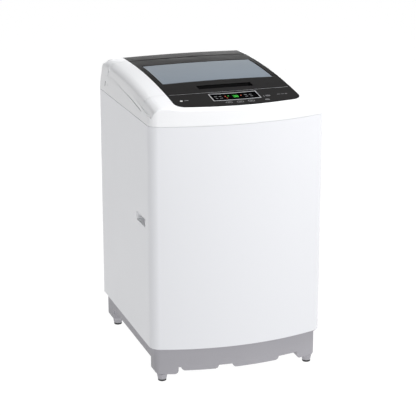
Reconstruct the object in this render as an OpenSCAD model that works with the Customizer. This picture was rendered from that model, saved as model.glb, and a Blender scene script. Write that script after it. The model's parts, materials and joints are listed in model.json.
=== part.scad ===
// Top load washing machine: bowed steel cabinet on a moulded base, moulded top cover with a
// full-width rear-hinged lid, and a suspended tub with basket, pulsator and belt drive.
// Millimetres. Z is up, the front faces -Y, and the origin is on the floor under the middle.

/* [Body] */
// Width of the cabinet
body_w = 540; // [530:1:550]
// Depth over the top cover, at the centre line
body_d = 600; // [590:1:610]
// Height of the joint between cabinet and top cover
seam_z = 787; // [782:1:790]
// Height of the moulded base, floor to cabinet
base_h = 108; // [105:1:110]
// How far the front bows forward across its width
front_bow = 50; // [44:1:52]
// Radius of the two front vertical corners
corner_r = 35; // [30:1:38]
// Thickness of the cabinet sheet
sheet = 1.2; // [1:0.1:1.5]

/* [Top] */
// Height of the top's side-view arc at its highest point
top_z = 880; // [878:1:882]
// Radius of the top's side-view arc
top_arc_r = 2750; // [2700:1:2850]
// Rise of the crown in the middle of the top
crown = 3; // [2:0.5:4]
// Width of the dark centre of the top
dark_w = 384; // [380:1:390]
// Thickness of the moulded walls of the top
skin_t = 3; // [2.5:0.1:3.2]
// Gap between the lid and the fixed parts of the top
lid_gap = 1.5; // [1:0.1:2]
// Height of the lid's side edge
lid_edge = 10; // [9:0.5:10.5]

/* [Washing parts] */
// Outer radius of the tub
tub_r = 240; // [236:1:242]
// Outer radius of the wash basket
basket_r = 218; // [214:1:220]
// Inner radius of the basket's mouth
mouth_r = 178; // [174:1:180]
// Radius of the pulsator
pulsator_r = 170; // [160:1:172]

/* [Controls] */
// Travel of the push buttons
press = 1; // [0.8:0.1:1.2]

/* [Hidden] */
$fn = 96;
arc_fn = 360; // the top's long arcs

white = [0.92, 0.92, 0.93];
dark = [0.06, 0.06, 0.06];
grey = [0.62, 0.62, 0.65];
steel = [0.72, 0.73, 0.74];
zinc = [0.6, 0.61, 0.63];

hw = body_w / 2;
hd = body_d / 2;
rear_r = 12; // rear vertical corners
cabinet_rear = hd - 3; // the cabinet's rear wall stands in under the top cover
bow_r = (hw * hw + front_bow * front_bow) / (2 * front_bow);
bow_y = bow_r - hd; // centre of every front curve seen from above

// The top
apex_y = 200; // where the side-view arc is highest
dark_hw = dark_w / 2;
shoulder_drop = 9; // fall of the white shoulders from the dark centre to the edge
shoulder_w = hw - dark_hw;
roll_x = 232; // where the shoulders start to roll over
roll_w = 30; // width over which they roll
roll_fall = 26; // how far they fall by the end of it
lean = 15 / 89; // inward lean of the top cover's sides, per unit of height
lid_front = -175; // front edge of the lid at the centre line
lid_front_r = 1800; // radius of that edge seen from above
panel_front = -287; // front edge of the dark centre
dark_corner_r = 36;
lid_axis = [0, 212, 871];
roll_r = 14; // rounded rear edge of the lid, about its own hinge line
roll_gap = 2.5;
rear_step = lid_axis.y + roll_r + roll_gap; // front edge of the fixed rear panel
deck_d = lid_edge + 2; // depth of the deck under the lid
deck_t = 3;

// The mouth in the deck
mouth_x = 165;
mouth_y0 = -162;
mouth_y1 = 190;
mouth_corner = 70;
collar_z = 772;

// The window and the finger slot of the lid
glass_x = 176;
glass_y0 = -73;
glass_y1 = 143;
slot_x = 84;
slot_y0 = -144;
slot_y1 = -114;
cup_depth = 24;
cup_lip = 12; // how far the cup runs under the panel in front of the slot

// Controls
display_x = 73;
display_y0 = -247;
display_y1 = -193;
button_gap = 0.4;
button_proud = 1;
programme_at = [-34, -264];
water_level_at = [0, -265];
rinse_at = [34, -264];
power_at = [96, -234];
start_at = [84, -263];
board_d = 10.3; // depth of the switches under the panel's surface

// Washing parts
tub_at = [0, 12];
tub_z = 290; // underside of the tub
tub_t = 3.5;
tub_top = 728;
basket_z = 330;
basket_t = 1.5;
basket_top = 704;
ring_top = 722;
rod_x = 222;
rod_dy = 228;
rod_r = 4;
ear_z = 296;
spring_z = 182;
brace_z = 740;
drive_r = 8; // pulsator shaft
spin_r = 14; // hollow basket shaft
spin_bore_r = 9.6; // bore for the pulsator shaft
run = 0.05; // running clearance
motor_at = [125, -88];
motor_shaft_r = 6;
belt_z = 139;
drive_pulley_r = 84;
motor_pulley_r = 21;
belt_w = 9;
belt_t = 6;
drain_at = [-110, 110];
drain_pipe_r = 15;
drain_neck_r = 14; // where it passes through the rear cover
outlet_at = [-172, 190]; // x and z on the rear

// Rear
rear_open = [430, 600]; // width and height of the rear opening
rear_open_z = 135;
valve_x = 110;
valve_z = 818;
gland_at = [180, 176];

// Side grips
grip_y0 = -200;
grip_y1 = -108;
grip_z0 = 472;
grip_z1 = 500;
grip_depth = 20;

// Feet
foot_x = 233;
foot_y0 = -234;
foot_y1 = 259;
foot_screw_r = 5;
pod_z = 24; // underside of the corner pods
pod_w = 67;
pod_y0 = -232; // middle of the front pods, the rear pods reach the rear edge
base_inset = 13;

// ---- Shapes seen from above -------------------------------------------------------------

// The area behind a front curve, w wide, from its front point y0 to a straight rear edge y1
module bowed(w, y0, y1) {
    intersection() {
        translate([-w / 2, y0]) square([w, y1 - y0]);
        translate([0, bow_y]) circle(r = bow_y - y0, $fn = arc_fn);
    }
}

// The same area with its two front corners rounded
module bowed_rounded(w, y0, y1, r) {
    intersection() {
        offset(r = r) offset(delta = -r) bowed(w, y0, y1 + 2 * r);
        translate([-w, y0 - 1]) square([2 * w, y1 - y0 + 1]);
    }
}

// Outline of the cabinet and the top cover, set in by g, with its rear wall at rear
module plan(g = 0, rear = hd) {
    intersection() {
        offset(r = corner_r - g) offset(delta = -corner_r)
            bowed(body_w, -hd, hd + 2 * corner_r);
        offset(r = rear_r - g) offset(delta = -rear_r)
            translate([-hw, -hd - 40]) square([body_w, hd + 40 + rear]);
    }
}

module mouth_area(g = 0) {
    offset(r = mouth_corner + g) offset(delta = -mouth_corner)
        translate([-mouth_x, mouth_y0]) square([2 * mouth_x, mouth_y1 - mouth_y0]);
}

// Everything under the lid, including its gaps
module lid_bay(g = 0) lid_plan(2 * body_w, lid_front - lid_gap - g, rear_step + g);

// An area w wide from a front point y0, with the lid's front curve, to a straight rear edge y1
module lid_plan(w, y0, y1) {
    intersection() {
        translate([-w / 2, y0]) square([w, y1 - y0]);
        translate([0, lid_front_r + y0]) circle(r = lid_front_r, $fn = arc_fn);
    }
}

module prism(z0, z1) {
    translate([0, 0, z0]) linear_extrude(z1 - z0) children();
}

// ---- The curved top ---------------------------------------------------------------------

// Radius of the top's surface about the axis of its side-view arc, at width x
function surface_r(x) = abs(x) <= dark_hw
    ? top_arc_r + crown * (1 - pow(x / dark_hw, 2))
    : top_arc_r - shoulder_drop * pow((abs(x) - dark_hw) / shoulder_w, 2) - shoulder_roll(abs(x));

// Extra fall where the shoulder rolls over into the side
function shoulder_roll(x) = x <= roll_x
    ? 0
    : roll_fall * (1 - sqrt(1 - pow(min(1, (x - roll_x) / roll_w), 2)));

// Height of the top's surface
function surface_z(x, y) =
    top_z - top_arc_r + sqrt(pow(surface_r(x), 2) - pow(y - apex_y, 2));

// Slope of the top's surface along Y, in degrees
function surface_slope(y) = asin((apex_y - y) / top_arc_r);

half_steps = [0, dark_hw / 3, dark_hw * 2 / 3, dark_hw, 215, 232, 239, 245, 250, 254, 257,
    roll_x + roll_w, hw + 2];
stations = concat([for (i = [len(half_steps) - 1 : -1 : 1]) -half_steps[i]], half_steps);

// The layer of the top between two depths under its surface
module layer(d0, d1) {
    start = 87.6;
    span = 13.8;
    translate([0, apex_y, top_z - top_arc_r]) rotate([90, 0, 90]) rotate([0, 0, start])
        rotate_extrude(angle = span, $fn = arc_fn)
            polygon(concat(
                [for (x = stations) [surface_r(x) - d0, x]],
                [for (i = [len(stations) - 1 : -1 : 0])
                    [surface_r(stations[i]) - d1, stations[i]]]));
}

// The wedge between the leaning sides of the top cover, set in by g
module sides(g = 0) {
    rise = 120;
    rotate([90, 0, 0]) linear_extrude(2 * body_d, center = true)
        polygon([
            [-hw + g, seam_z - 1], [hw - g, seam_z - 1],
            [hw - g - lean * rise, seam_z + rise], [-hw + g + lean * rise, seam_z + rise]]);
}

// Puts its children on the top's surface, square to it
module on_top(at, depth = 0) {
    translate([at.x, at.y, surface_z(at.x, at.y)]) rotate([surface_slope(at.y), 0, 0])
        translate([0, 0, -depth]) children();
}

module along_x(r, x0, x1, at = [0, 0, 0]) {
    translate([x0, at.y, at.z]) rotate([0, 90, 0]) cylinder(r = r, h = x1 - x0);
}

module along_y(r, y0, y1, x, z) {
    translate([x, y0, z]) rotate([-90, 0, 0]) cylinder(r = r, h = y1 - y0);
}

module tube(r0, r1, z0, z1) {
    translate([0, 0, z0]) difference() {
        cylinder(r = r1, h = z1 - z0);
        translate([0, 0, -1]) cylinder(r = r0, h = z1 - z0 + 2);
    }
}

module at_corners(x, y0, y1) {
    for (sx = [-1, 1]) for (y = [y0, y1]) translate([sx * x, y, 0]) children();
}

// ---- Cabinet, rear cover and base -------------------------------------------------------

cabinet_top = seam_z - 1;
flange_w = 16;

module cabinet() color(white) difference() {
    union() {
        prism(base_h, cabinet_top) difference() {
            plan(0, cabinet_rear);
            plan(sheet, cabinet_rear);
        }
        for (z = [base_h, cabinet_top - sheet]) prism(z, z + sheet) difference() {
            plan(sheet / 2, cabinet_rear);
            plan(flange_w, cabinet_rear);
        }
    }
    translate([-rear_open.x / 2, cabinet_rear - 8, rear_open_z])
        cube([rear_open.x, 20, rear_open.y]);
    for (s = [-1, 1]) grip_block(s, hw - 5, hw + 5);
    for (p = screw_places) along_y(screw_r, cabinet_rear - 3, cabinet_rear + 1, p.x, p.y);
}

cover_y = cabinet_rear - sheet; // outer face of the rear cover
cover_rim = 12;
screw_r = 2;
screw_places = [
    for (s = [-1, 1]) for (t = [0 : 3]) [
        s * (rear_open.x / 2 + cover_rim / 2), rear_open_z + 40 + t * (rear_open.y - 80) / 3],
    for (s = [-1, 1]) [s * 90, rear_open_z - cover_rim / 2],
    for (s = [-1, 1]) [s * 90, rear_open_z + rear_open.y + cover_rim / 2]
];
pocket_w = 64;
pocket_depth = 36;

module rear_cover() color(steel) difference() {
    union() {
        translate([-rear_open.x / 2 - cover_rim, cover_y - sheet, rear_open_z - cover_rim])
            cube([rear_open.x + 2 * cover_rim, sheet, rear_open.y + 2 * cover_rim]);
        // Pressed panel that stiffens the sheet
        translate([-150, cover_y - 5, 330]) difference() {
            cube([300, 5, 330]);
            translate([sheet, sheet, sheet]) cube([300 - 2 * sheet, 5, 330 - 2 * sheet]);
        }
        // Pocket round the drain outlet
        translate([outlet_at.x - pocket_w / 2, cover_y - pocket_depth, outlet_at.y - pocket_w / 2])
            cube([pocket_w, pocket_depth, pocket_w]);
    }
    translate([-150 + sheet, cover_y - 5 + sheet, 330 + sheet])
        cube([300 - 2 * sheet, 10, 330 - 2 * sheet]);
    translate([outlet_at.x - pocket_w / 2 + sheet, cover_y - pocket_depth + sheet,
        outlet_at.y - pocket_w / 2 + sheet])
        cube([pocket_w - 2 * sheet, pocket_depth, pocket_w - 2 * sheet]);
    along_y(drain_neck_r, cover_y - 60, cover_y, outlet_at.x, outlet_at.y);
    along_y(gland_r, cover_y - 10, cover_y + 1, gland_at.x, gland_at.y);
    for (p = screw_places) along_y(screw_r, cover_y - 3, cover_y + 1, p.x, p.y);
}

module panel_screws() color(zinc) for (p = screw_places) {
    along_y(screw_r, cover_y - 5, cabinet_rear, p.x, p.y);
    along_y(4.5, cabinet_rear, cabinet_rear + 2.4, p.x, p.y);
}

gland_r = 8;
cord_r = 4.2;

module cord_gland() color(dark) difference() {
    union() {
        along_y(gland_r, cover_y - 8, cover_y, gland_at.x, gland_at.y);
        along_y(gland_r + 3, cover_y, cover_y + 3.5, gland_at.x, gland_at.y);
    }
    along_y(cord_r, cover_y - 10, cover_y + 6, gland_at.x, gland_at.y);
}

// A block the size of a grip set in by g, on side s between two distances from the middle
module grip_block(s, x0, x1, g = 0) {
    translate([s > 0 ? x0 : -x1, grip_y0 + g, grip_z0 + g])
        cube([x1 - x0, grip_y1 - grip_y0 - 2 * g, grip_z1 - grip_z0 - 2 * g]);
}

module side_grips() color(white) for (s = [-1, 1]) {
    t = 2;
    inner = hw - sheet;
    difference() {
        union() {
            grip_block(s, inner - grip_depth, hw);
            grip_block(s, inner - t, inner, -5);
        }
        grip_block(s, inner - grip_depth + t, hw + 10, t);
    }
}

skirt_t = 4;
skirt_front_z = 46;
lobe_z = 35;
skirt_side_z = 65;

// Face of the base seen from the front: two pods and a skirt with two lower lobes
module base_front_face() {
    half = hw - base_inset;
    offset(r = 12) offset(delta = -12) union() {
        translate([-half, skirt_front_z]) square([2 * half, 120]);
        for (s = [-1, 1]) translate([s * (half - pod_w / 2) - pod_w / 2, pod_z])
            square([pod_w, 120]);
        for (lobe = [[-182, 112], [-27, 152]]) translate([lobe.x, lobe_z])
            square([lobe.y, 40]);
    }
}

// Face of the base seen from the side: two pods and a shallow skirt
module base_side_face() {
    half = hd - base_inset;
    offset(r = 12) offset(delta = -12) union() {
        translate([-half, skirt_side_z]) square([2 * half, 120]);
        translate([-half, pod_z]) square([half + pod_y0 + pod_w / 2, 120]);
        translate([half - pod_w, pod_z]) square([pod_w, 120]);
    }
}

module pod_area(g = 0) {
    intersection() {
        plan(base_inset + g);
        union() for (s = [-1, 1]) for (y = [pod_y0, hd - base_inset - pod_w / 2])
            translate([s * (hw - base_inset - pod_w / 2), y])
                square([pod_w - 2 * g, pod_w - 2 * g], center = true);
    }
}

module base_frame() color(grey) difference() {
    intersection() {
        union() {
            prism(pod_z, base_h) difference() {
                plan(base_inset);
                plan(base_inset + skirt_t);
            }
            prism(pod_z, base_h) pod_area();
            // Rim under the cabinet's flange
            prism(base_h - 4, base_h) difference() {
                plan(4, cabinet_rear);
                plan(flange_w + 10);
            }
            // Shelf for the drain pump
            prism(base_h - 4, base_h) difference() {
                translate([-240, 60]) square([180, 220]);
                translate(tub_at) circle(r = 96);
            }
        }
        union() {
            rotate([90, 0, 0]) linear_extrude(2 * body_d, center = true) base_front_face();
            prism(base_h - 4, base_h) square([body_w, body_d], center = true);
        }
        union() {
            rotate([90, 0, 90]) linear_extrude(2 * body_w, center = true) base_side_face();
            prism(base_h - 4, base_h) square([body_w, body_d], center = true);
        }
    }
    // Pods are hollow from above, round a boss for each foot
    difference() {
        prism(pod_z + 12, base_h + 1) pod_area(skirt_t);
        at_corners(foot_x, foot_y0, foot_y1) cylinder(r = 12, h = base_h + 2);
    }
    at_corners(foot_x, foot_y0, foot_y1) {
        translate([0, 0, pod_z - 1]) cylinder(r = foot_screw_r + run, h = base_h);
        translate([0, 0, pod_z - 1]) cylinder(r = 10.5, h = 8);
    }
}

module foot_nuts() color(zinc) at_corners(foot_x, foot_y0, foot_y1)
    translate([0, 0, pod_z + 0.5]) difference() {
        cylinder(r = 9.8, h = 6.3, $fn = 6);
        translate([0, 0, -1]) cylinder(r = foot_screw_r + run, h = 9);
    }

// One levelling foot: rubber-tipped cone under a threaded stem
module foot(side, y) color(dark) translate([side * foot_x, y, 0]) {
    cylinder(r = 17, h = 5);
    translate([0, 0, 5]) cylinder(r1 = 15, r2 = 10, h = pod_z - 5.5);
    translate([0, 0, 5]) cylinder(r = foot_screw_r, h = 72);
}

module foot_front_left() foot(-1, foot_y0);
module foot_front_right() foot(1, foot_y0);
module foot_rear_left() foot(-1, foot_y1);
module foot_rear_right() foot(1, foot_y1);

// ---- Suspension -------------------------------------------------------------------------

module at_rods() {
    at_corners(rod_x, tub_at.y - rod_dy, tub_at.y + rod_dy) children();
}

module corner_braces() color(zinc) difference() {
    prism(brace_z, brace_z + 3) intersection() {
        plan(sheet, cabinet_rear);
        at_rods() square([110, 84], center = true);
    }
    translate([0, 0, brace_z - 1]) linear_extrude(5) translate(tub_at) circle(r = 262);
    at_rods() translate([0, 0, brace_z - 1]) cylinder(r = 9, h = 5);
}

module rod_seats() color(dark) at_rods() difference() {
    union() {
        translate([0, 0, brace_z - 5]) cylinder(r = 9, h = 9);
        translate([0, 0, brace_z + 3]) cylinder(r1 = 14, r2 = 11, h = 7);
    }
    translate([0, 0, brace_z - 6]) cylinder(r = rod_r, h = 20);
}

module suspension_rods() color(zinc) at_rods() {
    translate([0, 0, spring_z - 8]) cylinder(r = rod_r, h = brace_z + 18 - spring_z);
    translate([0, 0, spring_z - 6]) cylinder(r = 15, h = 6);
    translate([0, 0, brace_z + 10]) cylinder(r1 = 8, r2 = 5, h = 5);
}

module suspension_springs() color(steel) {
    coils = 9;
    pitch = (ear_z - spring_z) / coils;
    wire = 1.8;
    at_rods() translate([0, 0, spring_z]) rotate_extrude()
        polygon(concat(
            [for (i = [0 : 2 * coils]) [i % 2 == 0 ? 11 : 9.5, i * pitch / 2]],
            [for (i = [2 * coils : -1 : 0]) [(i % 2 == 0 ? 11 : 9.5) + 2 * wire, i * pitch / 2]]));
}

// ---- Top cover, panels and controls -----------------------------------------------------

module dark_area(g = 0) bowed_rounded(dark_w + 2 * g, panel_front - g, hd + 20, dark_corner_r);

// The part of the dark centre in front of the lid
module control_area(g = 0) {
    difference() {
        dark_area(g);
        translate([0, lid_front_r + lid_front - lid_gap])
            circle(r = lid_front_r - g, $fn = arc_fn);
    }
}

module rear_panel_area(g = 0) {
    translate([-dark_hw - g, rear_step - g]) square([dark_w + 2 * g, hd - rear_step - 3 + 2 * g]);
}

ledge = 5;
cover_z = seam_z + 0.5;

module top_cover_solid(g = 0) intersection() {
    prism(cover_z, top_z + 20) plan(g);
    sides(g);
    layer(g, 200);
}

module top_cover() color(white) difference() {
    union() {
        difference() {
            top_cover_solid();
            difference() {
                union() {
                    top_cover_solid(skin_t);
                    prism(cover_z - 5, cover_z + 5) plan(skin_t);
                }
                // Ledges under the two dark panels, the deck and its steps stay
                intersection() {
                    layer(skin_t, 2 * skin_t + 1);
                    prism(cover_z, top_z + 10) {
                        difference() {
                            control_area(ledge);
                            control_area(-ledge);
                        }
                        difference() {
                            rear_panel_area(ledge);
                            rear_panel_area(-ledge);
                        }
                    }
                }
                intersection() {
                    layer(deck_d, deck_d + deck_t);
                    prism(cover_z, top_z + 10) lid_bay(skin_t);
                }
                intersection() {
                    layer(0, deck_d + deck_t);
                    prism(cover_z, top_z + 10) difference() {
                        lid_bay(skin_t);
                        lid_bay();
                    }
                }
                intersection() {
                    layer(deck_d, 200);
                    prism(collar_z, top_z) difference() {
                        mouth_area(skin_t);
                        mouth_area();
                    }
                }
                trough(roll_r + roll_gap - 0.5, roll_r + roll_gap + 2);
                inlet_pocket(0);
            }
        }
        // Locating lip inside the cabinet's top edge
        prism(cabinet_top, cover_z + skin_t) difference() {
            plan(skin_t - 1);
            plan(2 * skin_t);
        }
    }
    // The bay of the lid and the mouth
    intersection() {
        layer(-20, deck_d);
        prism(cover_z, top_z + 30) lid_bay();
    }
    prism(cover_z - 20, top_z + 10) mouth_area();
    along_x(roll_r + roll_gap - 0.5, -hw - 1, hw + 1, lid_axis);
    // Openings for the two dark panels
    intersection() {
        layer(-20, skin_t + 0.2);
        prism(cover_z, top_z + 30) {
            control_area(0.3);
            rear_panel_area(0.3);
        }
    }
    prism(cover_z, top_z + 30) control_area(-ledge);
    prism(cover_z, top_z + 30) rear_panel_area(-ledge);
    inlet_pocket(2);
    along_y(13.2 + 0.6, cabinet_rear - 40, hd + 1, valve_x, valve_z);
    // Way through for the detergent drawer
    translate([drawer_x0 - 1, mouth_y1 - 26, drawer_z0 - 1])
        cube([drawer_w + 2, 56, drawer_h + 2]);
    // Slots in the sides for the rear fastening clips
    for (s = [-1, 1]) translate([s * hw - 5.5, 212, 812]) cube([11, 3, 22]);
}

// Gutter under the rolled rear edge of the lid
module trough(r0, r1) intersection() {
    difference() {
        along_x(r1, -hw, hw, lid_axis);
        along_x(r0, -hw - 1, hw + 1, lid_axis);
    }
    translate([-hw, lid_axis.y - r1, lid_axis.z - r1]) cube([body_w, 2 * r1 + 1, r1]);
}

// Recess in the rear wall round the water inlet, g is its wall
module inlet_pocket(g) {
    translate([valve_x - 30 + g, hd - 24 + g, valve_z - 24 + g])
        cube([60 - 2 * g, 30, 48 - 2 * g]);
}

module rear_panel() color(dark) {
    intersection() {
        layer(0, skin_t);
        prism(cover_z, top_z + 10) rear_panel_area();
    }
    // Clips on its underside
    for (s = [-1, 1]) intersection() {
        layer(skin_t, 14);
        translate([s * 150 - 10, 260, cover_z]) cube([20, 2.5, 100]);
    }
}

module stadium(w, d, g = 0) {
    square([w - d, d + 2 * g], center = true);
    for (s = [-1, 1]) translate([s * (w - d) / 2, 0]) circle(d = d + 2 * g);
}

button_size = [22, 13];
small_button = [15, 12];

module button_hole(at, size) on_top(at, 8) linear_extrude(12) stadium(size.x, size.y, button_gap);

module control_panel() color(dark) difference() {
    union() {
        intersection() {
            layer(0, skin_t);
            prism(cover_z, top_z + 10) control_area();
        }
        // Skirt inside the opening of the top cover
        intersection() {
            layer(skin_t - 0.5, 16);
            prism(cover_z, top_z + 10) difference() {
                control_area(-ledge - 0.5);
                control_area(-ledge - 3);
            }
        }
    }
    display_cut(0);
    button_hole(programme_at, button_size);
    button_hole(water_level_at, button_size);
    button_hole(rinse_at, button_size);
    button_hole(power_at, small_button);
    button_hole(start_at, small_button);
}

module display_area(g = 0) intersection() {
    bowed(2 * (display_x + g), display_y0 - g, display_y1 + 20);
    difference() {
        square([body_w, body_d], center = true);
        translate([0, bow_y]) circle(r = bow_y - display_y1 - g, $fn = arc_fn);
    }
}

module display_cut(g) prism(cover_z, top_z + 10) display_area(g);

bezel_w = 2;

module display_bezel() color(grey) intersection() {
    layer(-0.4, skin_t);
    difference() {
        display_cut(0);
        display_cut(-bezel_w);
    }
}

module display_window() color(dark) intersection() {
    layer(0, skin_t);
    display_cut(-bezel_w);
}

module button(at, size) color(grey) on_top(at) {
    translate([0, 0, -5]) linear_extrude(5 + button_proud) stadium(size.x, size.y);
    translate([0, 0, -5.4]) linear_extrude(1.4) stadium(size.x + 1.6, size.y + 1.6);
    translate([0, 0, 0.2 + press - board_d]) cylinder(r = 2.5, h = board_d - 5 - press);
}

module programme_button() button(programme_at, button_size);
module water_level_button() button(water_level_at, button_size);
module rinse_button() button(rinse_at, button_size);
module power_button() button(power_at, small_button);
module start_button() button(start_at, small_button);

// Circuit board with its key switches and the display's lamp block
module control_board() color([0.1, 0.35, 0.2]) {
    on_top([0, -230], board_d + 3) translate([-110, -38, -1.6]) cube([220, 62, 1.6]);
    for (at = [programme_at, water_level_at, rinse_at, power_at, start_at])
        on_top(at, board_d) translate([-3, -3, -4]) cube([6, 6, 4]);
    on_top([0, -220], board_d + 4) translate([-60, -20, 0]) cube([120, 38, 8.6]);
    // Carrier under the board
    on_top([0, -230], board_d + 30) translate([-104, -34, 0]) cube([208, 54, 25.5]);
}

// ---- Water inlet, detergent and sensors -------------------------------------------------

drawer_x0 = -145;
drawer_w = 138;
drawer_z0 = 800;
drawer_h = 45;
drawer_front = mouth_y1 - 1;
drawer_len = 94;
house_t = 2;
house_gap = 1;
pipe_y = 256; // pipe from the valve to the housing

module detergent_housing() color(white) {
    x0 = drawer_x0 - house_gap - house_t;
    y0 = mouth_y1 + skin_t + 0.5;
    z0 = drawer_z0 - house_gap - house_t;
    w = drawer_w + 2 * (house_gap + house_t);
    h = drawer_h + 2 * (house_gap + house_t);
    difference() {
        translate([x0, y0, z0]) cube([w, 97, h]);
        translate([x0 + house_t, y0 - 1, z0 + house_t])
            cube([w - 2 * house_t, 96, h - 2 * house_t]);
        // Spout over the basket and the water's way in
        translate([x0 + 30, y0 - 1, z0 - 1]) cube([50, 9, house_t + 2]);
        along_x(7, x0 + w - 5, x0 + w + 5, [0, pipe_y, valve_z + 6]);
    }
}

module detergent_drawer() color([0.8, 0.85, 0.9]) {
    t = 2;
    difference() {
        translate([drawer_x0, drawer_front, drawer_z0]) cube([drawer_w, drawer_len, drawer_h]);
        for (i = [0, 1]) translate([drawer_x0 + t + i * (drawer_w - t) / 2, drawer_front + 5,
            drawer_z0 + t]) cube([(drawer_w - 3 * t) / 2, drawer_len - 5 - t, drawer_h]);
        // Pull under the drawer's front
        translate([drawer_x0 + drawer_w / 2 - 30, drawer_front - 1, drawer_z0 - 1])
            cube([60, 4, 13]);
    }
}

module water_valve() color(white) {
    difference() {
        union() {
            translate([valve_x - 24, 232, valve_z - 20]) cube([48, 42, 40]);
            along_y(13.2, 273, 296, valve_x, valve_z);
            along_x(7, drawer_x0 + drawer_w + 1, valve_x - 23, [0, pipe_y, valve_z + 6]);
            for (s = [-1, 1]) translate([valve_x + s * 11 - 9, 236, valve_z - 20 - 14])
                cube([18, 30, 15]);
        }
        along_y(9, 272, 300, valve_x, valve_z);
        along_x(5, -10, valve_x - 10, [0, pipe_y, valve_z + 6]);
    }
}

module level_sensor() color(dark) translate([-218, -150, 795]) {
    cylinder(r = 21, h = 22);
    translate([0, 0, -14]) difference() {
        cylinder(r = 4, h = 15);
        translate([0, 0, -1]) cylinder(r = 2, h = 10);
    }
    intersection() {
        translate([-6, -6, 21]) cube([12, 12, 60]);
        translate([218, 150, -795]) layer(deck_d + deck_t, 100);
    }
}

module lid_switch() color(dark) intersection() {
    layer(deck_d + deck_t, 100);
    union() {
        translate([196, 90, 826]) cube([26, 52, 60]);
        translate([200, 142, 834]) cube([18, 12, 16]);
    }
}

// ---- Lid ---------------------------------------------------------------------------------

// Everything the lid covers, with its rear edge rounded about the hinge line
module lid_reach() {
    prism(cover_z, top_z + 20) lid_plan(2 * body_w, lid_front, lid_axis.y + 3);
    along_x(roll_r, -hw, hw, lid_axis);
}

// The lid's hollow, behind its front edge by g and in front of the bar at its rear edge
module lid_inside(g) {
    prism(cover_z - 20, top_z + 20) lid_plan(2 * body_w, lid_front + g, nose_y);
}

module window_area(g = 0) {
    offset(r = 8) offset(delta = g - 8)
        translate([-glass_x, glass_y0]) square([2 * glass_x, glass_y1 - glass_y0]);
}

module slot_area(g = 0, lip = 0) {
    translate([-slot_x - g, slot_y0 - g - lip])
        square([2 * (slot_x + g), slot_y1 - slot_y0 + 2 * g + lip]);
}

frame_d = 5; // depth where the lid frame starts under the top panel
frame_t = 2.7;
nose_y = lid_axis.y + 7; // front of the solid bar along the rear edge
hinge_x = 176;
hinge_w = 12;
pin_r = 3;
ear_r = 6.5;

// A box across the lid between two depths, |x| from x0 to x1 and y from y0 to y1
module lid_box(d0, d1, x0, x1, y0, y1) intersection() {
    layer(d0, d1);
    for (s = x0 > 0 ? [-1, 1] : [0])
        translate([s == 0 ? -x1 : s * (x0 + x1) / 2 - (x1 - x0) / 2, y0, cover_z])
            cube([s == 0 ? 2 * x1 : x1 - x0, y1 - y0, 120]);
}

// Tray under the dark panel, notched for the hinges
module lid_frame() color(dark) intersection() {
    layer(frame_d, frame_d + frame_t);
    prism(cover_z, top_z + 20) difference() {
        lid_plan(dark_w, lid_front + 1, nose_y - 0.3);
        window_area(-6);
        slot_area(3, cup_lip);
        for (s = [-1, 1]) translate([s * (hinge_x - 2) - 17, lid_axis.y - 14])
            square([34, 60]);
    }
}

// White mouldings along the lid's two sides, hollow from below
module lid_side_trims() color(white) difference() {
    intersection() {
        lid_box(0, lid_edge, dark_hw + 0.3, hw, -hd, hd);
        lid_reach();
        sides(0.4);
    }
    intersection() {
        lid_box(skin_t, 40, dark_hw + 0.3 + skin_t, hw, -hd, hd);
        lid_inside(3);
        sides(3.4);
    }
}

module lid_hinges() color(white) difference() {
    union() for (e = [-1, 1]) {
        x0 = hinge_x + e * (hinge_w / 2 + 4.5) - 4;
        intersection() {
            translate([-hw, lid_axis.y - 10, lid_axis.z - 10]) cube([body_w, 20, 13.8]);
            for (s = [-1, 1]) along_x(ear_r, s * (x0 + 4) - 4, s * (x0 + 4) + 4, lid_axis);
        }
        lid_box(frame_d + frame_t, frame_d + frame_t + 3, x0, x0 + 8, 170, lid_axis.y);
    }
    along_x(pin_r, -hw, hw, lid_axis);
}

module lid_panel() color(dark) difference() {
    intersection() {
        lid_reach();
        union() {
            lid_box(0, skin_t, 0, dark_hw, -hd, hd);
            lid_box(0, lid_edge, 0, dark_hw, nose_y, hd);
        }
    }
    prism(cover_z, top_z + 20) window_area(0.3);
    prism(cover_z, top_z + 20) slot_area();
}

module lid_glass() color([0.45, 0.52, 0.58, 0.5]) intersection() {
    layer(0.8, frame_d);
    prism(cover_z, top_z + 20) window_area();
}

module lid_handle() color(dark) difference() {
    intersection() {
        layer(skin_t, cup_depth);
        prism(cover_z - 20, top_z + 20) slot_area(2.5, cup_lip);
    }
    intersection() {
        layer(-5, cup_depth - 2.5);
        prism(cover_z - 20, top_z + 20) slot_area(0, cup_lip);
    }
}

module hinge_pins() color(zinc) for (s = [-1, 1])
    along_x(pin_r, s * hinge_x - 15, s * hinge_x + 15, lid_axis);

module hinge_brackets() color(white) for (s = [-1, 1]) difference() {
    union() {
        along_x(6, s * hinge_x - hinge_w / 2, s * hinge_x + hinge_w / 2, lid_axis);
        translate([s * hinge_x - hinge_w / 2, 170, lid_axis.z - 4])
            cube([hinge_w, lid_axis.y - 170, 5]);
    }
    along_x(pin_r + run, s * hinge_x - hinge_w, s * hinge_x + hinge_w, lid_axis);
    intersection() {
        layer(deck_d, 60);
        translate([-hw, 100, cover_z])
            cube([body_w, lid_axis.y - 100 - roll_r - roll_gap + 1.1, 100]);
    }
}

// ---- Tub and drive ----------------------------------------------------------------------

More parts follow.
